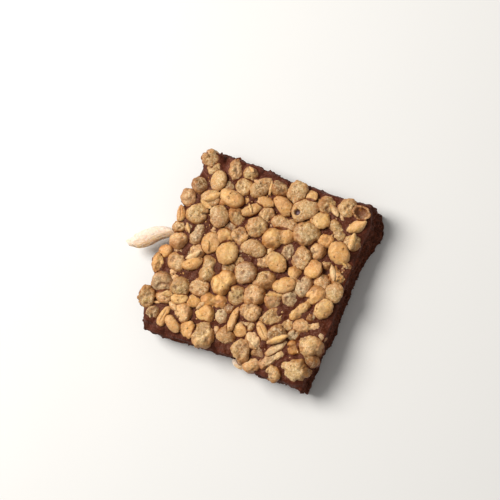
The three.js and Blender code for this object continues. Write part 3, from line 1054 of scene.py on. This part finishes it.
class Look:
    """A material's node tree, with short calls to add to it."""

    def __init__(self, name):
        self.material = bpy.data.materials.new(name)
        self.material.use_nodes = True
        self.tree = self.material.node_tree
        self.shader = self.tree.nodes["Principled BSDF"]
        self.place = self.add("ShaderNodeTexCoord").outputs["Object"]
        self.colour = None

    def fill(self, node, inputs):
        """Gives a node's inputs links or values."""
        for name, value in inputs.items():
            if isinstance(value, bpy.types.NodeSocket):
                self.tree.links.new(value, node.inputs[name])
            else:
                node.inputs[name].default_value = value

    def add(self, kind, inputs=None, **settings):
        node = self.tree.nodes.new(kind)
        for name, value in settings.items():
            setattr(node, name, value)
        self.fill(node, inputs or {})
        return node

    def mark(self, name, output="Fac"):
        """A mark on the mesh's points."""
        return self.add("ShaderNodeAttribute", attribute_name=name).outputs[output]

    def noise(self, size, detail=3.0, roughness=0.55):
        """Noise with bumps about size millimetres across."""
        inputs = {"Vector": self.place, "Scale": 1 / (size * MM), "Detail": detail}
        node = self.add("ShaderNodeTexNoise", inputs | {"Roughness": roughness})
        return node.outputs["Fac"]

    def spread(self, value, low, high, to_low=0.0, to_high=1.0):
        """Maps a range of values to another one."""
        inputs = {"Value": value, "From Min": low, "From Max": high, "To Min": to_low, "To Max": to_high}
        return self.add("ShaderNodeMapRange", inputs).outputs["Result"]

    def sum(self, a, b, operation="ADD"):
        return self.add("ShaderNodeMath", {0: a, 1: b}, operation=operation).outputs["Value"]

    def times(self, a, b):
        return self.sum(a, b, "MULTIPLY")

    def mixed(self, share, a, b, blend="MIX"):
        """Colour a with a share of colour b over it."""
        a, b = ((*linear(colour), 1) if isinstance(colour, tuple) else colour for colour in (a, b))
        inputs = {0: share, 6: a, 7: b}  # the colours' own sockets have no name of their own
        node = self.add("ShaderNodeMix", inputs, data_type="RGBA", blend_type=blend)
        return node.outputs[2]

    def lay(self, share, tint, blend="MIX"):
        """Lays a share of a tint over the colour so far."""
        self.colour = self.mixed(share, self.colour, tint, blend)

    def tint(self, tint, mask, low, high, most=1.0):
        """Lays a tint on, from none of it where the mask is low to most where it is high."""
        self.lay(self.spread(mask, low, high, 0.0, most), tint)

    def bump(self, height, depth, strength=1.0, before=None):
        """Relief too fine for the mesh, depth millimetres deep."""
        inputs = {"Height": height, "Distance": depth * MM, "Strength": strength}
        if before:
            inputs["Normal"] = before
        return self.add("ShaderNodeBump", inputs).outputs["Normal"]

    def glow(self, weight, reach):
        """Lets light pass through, each of red, green and blue as far as its reach in mm."""
        inputs = {"Subsurface Weight": weight, "Subsurface Radius": reach, "Subsurface Scale": MM}
        self.fill(self.shader, inputs)

    def gloss(self, level, tint):
        """How strongly the surface reflects, and in which tint."""
        self.fill(self.shader, {"Specular IOR Level": level, "Specular Tint": (*tint, 1)})

    def finish(self, roughness, normal):
        inputs = {"Base Color": self.colour, "Roughness": roughness, "Normal": normal}
        self.fill(self.shader, inputs)
        return self.material


def grain_look():
    look = Look("puffed_grain")
    look.colour = look.mark("tone", "Color")
    look.tint((0.92, 0.71, 0.37), look.noise(2.4, 1), 0.45, 0.75, 0.3)  # golden patches
    look.tint((0.78, 0.49, 0.23), look.noise(1.2, 2), 0.48, 0.7, 0.45)  # rusty ones
    look.tint((0.89, 0.71, 0.57), look.noise(1.8, 1), 0.45, 0.75, 0.25)  # pink ones
    # paler skin and painted highlight on shoulders and rims
    look.lay(look.times(look.mark("edge"), 0.6), (0.98, 0.84, 0.62))
    sandy = look.mark("sandy")
    pale = look.times(look.spread(look.noise(0.45, 4, 0.85), 0.48, 0.6, 0.0, 0.75), sandy)
    look.lay(pale, (0.96, 0.86, 0.69))
    patchy = look.spread(look.noise(1.3, 3), 0.4, 0.6)
    dark = look.times(look.spread(look.noise(0.3, 3, 0.85), 0.54, 0.38), sandy)
    dark = look.times(dark, look.spread(patchy, 0.0, 1.0, 0.6, 1.0))
    look.lay(dark, (0.69, 0.65, 0.58), "MULTIPLY")
    pits = look.times(look.spread(look.noise(0.5, 3, 0.7), 0.4, 0.3), patchy)
    look.lay(pits, (0.58, 0.47, 0.36), "MULTIPLY")
    # painted shade in creases, holes and hollows
    crease = look.mark("crease")
    look.tint((0.42, 0.24, 0.13), crease, 0.1, 1.0, 0.85)
    look.tint((0.36, 0.26, 0.30), crease, 1.1, 1.5)  # painted shade in the dent that stands for the hole right through a disc
    # painted shade and chocolate on the grains' low parts, cracks and rims
    stain = look.mark("stain")
    look.tint((0.62, 0.375, 0.155), stain, 0.0, 0.55)  # browned skin and painted shade
    look.tint((0.38, 0.155, 0.045), stain, 0.45, 1.0)  # chocolate on it, and deeper painted shade
    look.gloss(0.5, (1.0, 0.85, 0.68))
    look.glow(0.08, (1.1, 0.45, 0.15))
    roughness = look.spread(look.noise(0.5), 0.3, 0.7, 0.3, 0.6)
    fine = look.bump(look.noise(0.32, 3, 0.7), 0.1)
    return look.finish(roughness, look.bump(look.noise(0.8, 2), 0.16, 1.0, fine))


def chocolate_look():
    look = Look("chocolate")
    cloudy = look.spread(look.noise(2.4, 4), 0.35, 0.65)
    crumbly = look.spread(look.noise(0.6, 4), 0.4, 0.62)
    smooth = look.mixed(cloudy, (0.27, 0.105, 0.04), (0.41, 0.205, 0.145))
    torn = look.mixed(crumbly, (0.26, 0.10, 0.04), (0.40, 0.185, 0.10))
    broken = look.mark("broken")
    look.colour = look.mixed(broken, smooth, torn)
    gap = look.mark("gap")
    # painted shade on the top at the grains' feet
    foot_shade = look.times(look.spread(gap, 0.35, 0.05, 0.0, 0.8), look.spread(broken, 0.5, 0.0))
    look.lay(foot_shade, (0.33, 0.135, 0.045))
    look.tint((0.16, 0.06, 0.03), look.noise(0.4, 4, 0.75), 0.5, 0.35, 0.75)
    look.tint((0.58, 0.37, 0.30), look.noise(0.24, 2), 0.58, 0.7, 0.5)  # pale dust, which also stands in as painted glints
    worn = look.spread(broken, 0.0, 0.3, 0.0, 0.5)
    roughness = look.sum(look.spread(look.noise(1.0, 3), 0.35, 0.65, 0.25, 0.45), worn)
    open_top = look.spread(gap, 0.4, 1.4, 0.4, 1.0)
    fine = look.bump(look.noise(0.25, 3, 0.75), 0.2, open_top)
    look.gloss(0.25, (1.0, 0.7, 0.55))
    return look.finish(roughness, look.bump(look.noise(0.6, 4), 0.2, 0.9, fine))


def rice_look():
    look = Look("puffed_rice")
    # toasted colour and painted shade towards one side
    look.colour = look.mixed(look.mark("toast_and_shade"), (0.95, 0.87, 0.79), (0.94, 0.78, 0.57))
    look.tint((0.90, 0.73, 0.62), look.noise(1.0, 4), 0.5, 0.7, 0.6)
    look.tint((0.98, 0.94, 0.89), look.noise(0.35, 4, 0.7), 0.5, 0.62, 0.7)
    look.tint((0.60, 0.45, 0.39), look.noise(0.25, 3, 0.75), 0.4, 0.3, 0.8)
    # painted shade in the pits
    look.tint((0.62, 0.48, 0.40), look.mark("crease"), 0.2, 1.0, 0.6)
    look.glow(0.3, (1.0, 0.7, 0.5))
    roughness = look.spread(look.noise(0.5), 0.3, 0.7, 0.6, 0.85)
    fine = look.bump(look.noise(0.2, 3, 0.7), 0.08)
    return look.finish(roughness, look.bump(look.noise(0.6, 3), 0.1, 0.8, fine))


def floor_look():
    look = Look("floor")
    look.colour = look.mixed(look.noise(60.0), (0.925, 0.925, 0.92), (0.935, 0.935, 0.93))
    roughness = look.spread(look.noise(20.0), 0.3, 0.7, 0.55, 0.65)
    return look.finish(roughness, look.bump(look.noise(1.5), 0.01, 0.2))


# ---- Floor, light and camera ----

FLOOR_SIZE = 3000.0
KEY_FROM = (-0.85, 0.12, 1.0)
KEY_DISTANCE = 450.0
KEY_SIZE = 280.0
KEY_WATTS = 2.42
KEY_COLOUR = (1.0, 0.97, 0.93)
SKY = 0.27
SKY_COLOUR = (1.0, 0.98, 0.95, 1)


def make_floor():
    corners = np.array([(-1, -1, 0), (1, -1, 0), (1, 1, 0), (-1, 1, 0)]) * FLOOR_SIZE / 2
    mesh = new_mesh("floor", corners, [(0, 1, 2, 3)])
    mesh.materials.append(floor_look())
    new_object("floor", mesh)


def make_lights():
    towards = Vector(KEY_FROM).normalized()
    lamp = bpy.data.lights.new("key", "AREA")
    lamp.shape = "DISK"
    lamp.size = KEY_SIZE * MM
    lamp.energy = KEY_WATTS
    lamp.color = KEY_COLOUR
    key = new_object("key", lamp)
    key.location = towards * KEY_DISTANCE * MM
    key.rotation_euler = towards.to_track_quat("Z", "Y").to_euler()
    world = bpy.data.worlds.new("studio")
    world.use_nodes = True
    background = world.node_tree.nodes["Background"].inputs
    background["Color"].default_value = SKY_COLOUR
    background["Strength"].default_value = SKY
    bpy.context.scene.world = world


# The camera looks almost straight down, from a little to the right side and the front.
LEAN_RIGHT = math.radians(13)
LEAN_FRONT = math.radians(4)
ROLL = math.radians(21)
AIM = (-2.8, 2.8, 5.0)
CAMERA_DISTANCE = 244.4
CLIP_START = 5.0
FOCAL_LENGTH = 100.0


def make_camera():
    side = math.sin(LEAN_RIGHT)
    front = -math.sin(LEAN_FRONT)
    back = Vector((side, front, math.sqrt(1 - side**2 - front**2)))
    up = Vector((-math.sin(ROLL), math.cos(ROLL), 0))
    right = up.cross(back).normalized()
    lens = bpy.data.cameras.new("camera")
    lens.lens = FOCAL_LENGTH
    lens.clip_start = CLIP_START * MM
    camera = new_object("camera", lens)
    turn = Matrix((right, back.cross(right), back)).transposed()
    place = (Vector(AIM) + back * CAMERA_DISTANCE) * MM
    camera.matrix_world = Matrix.LocRotScale(place, turn.to_quaternion(), None)
    bpy.context.scene.camera = camera


looks_rng = np.random.default_rng(LOOKS_SEED)
layer_grains = lay_grains()
finish_grains(layer_grains, looks_rng)
low_grains = lay_low_grains(layer_grains, looks_rng)
grain_material = grain_look()
chocolate_material = chocolate_look()
all_grains = layer_grains + low_grains
chocolate = make_chocolate(all_grains, chocolate_material)
top_pieces = [chocolate]
for kind in SHAPES:
    same = [grain for grain in layer_grains if grain.kind == kind]
    name = f"{kind}_grains"
    top_pieces.append(make_grains(name, same, all_grains, grain_material, looks_rng))
low_piece = make_grains("low_grains", low_grains, all_grains, grain_material, looks_rng, LOW_STEPS)
top_pieces.append(low_piece)
husks = lay_husks(top_pieces, looks_rng)
make_grains("husks", husks, [], grain_material, looks_rng, LOW_STEPS)
make_grain_crumbs(top_pieces, grain_material, looks_rng)
make_chocolate_crumbs(chocolate, chocolate_material, looks_rng)
rice_material = rice_look()
make_rice("long_rice_grain", LONG_RICE, rice_material, looks_rng)
make_rice("short_rice_grain", SHORT_RICE, rice_material, looks_rng)
make_floor()
make_lights()
make_camera()
bpy.context.scene.view_settings.view_transform = "Standard"
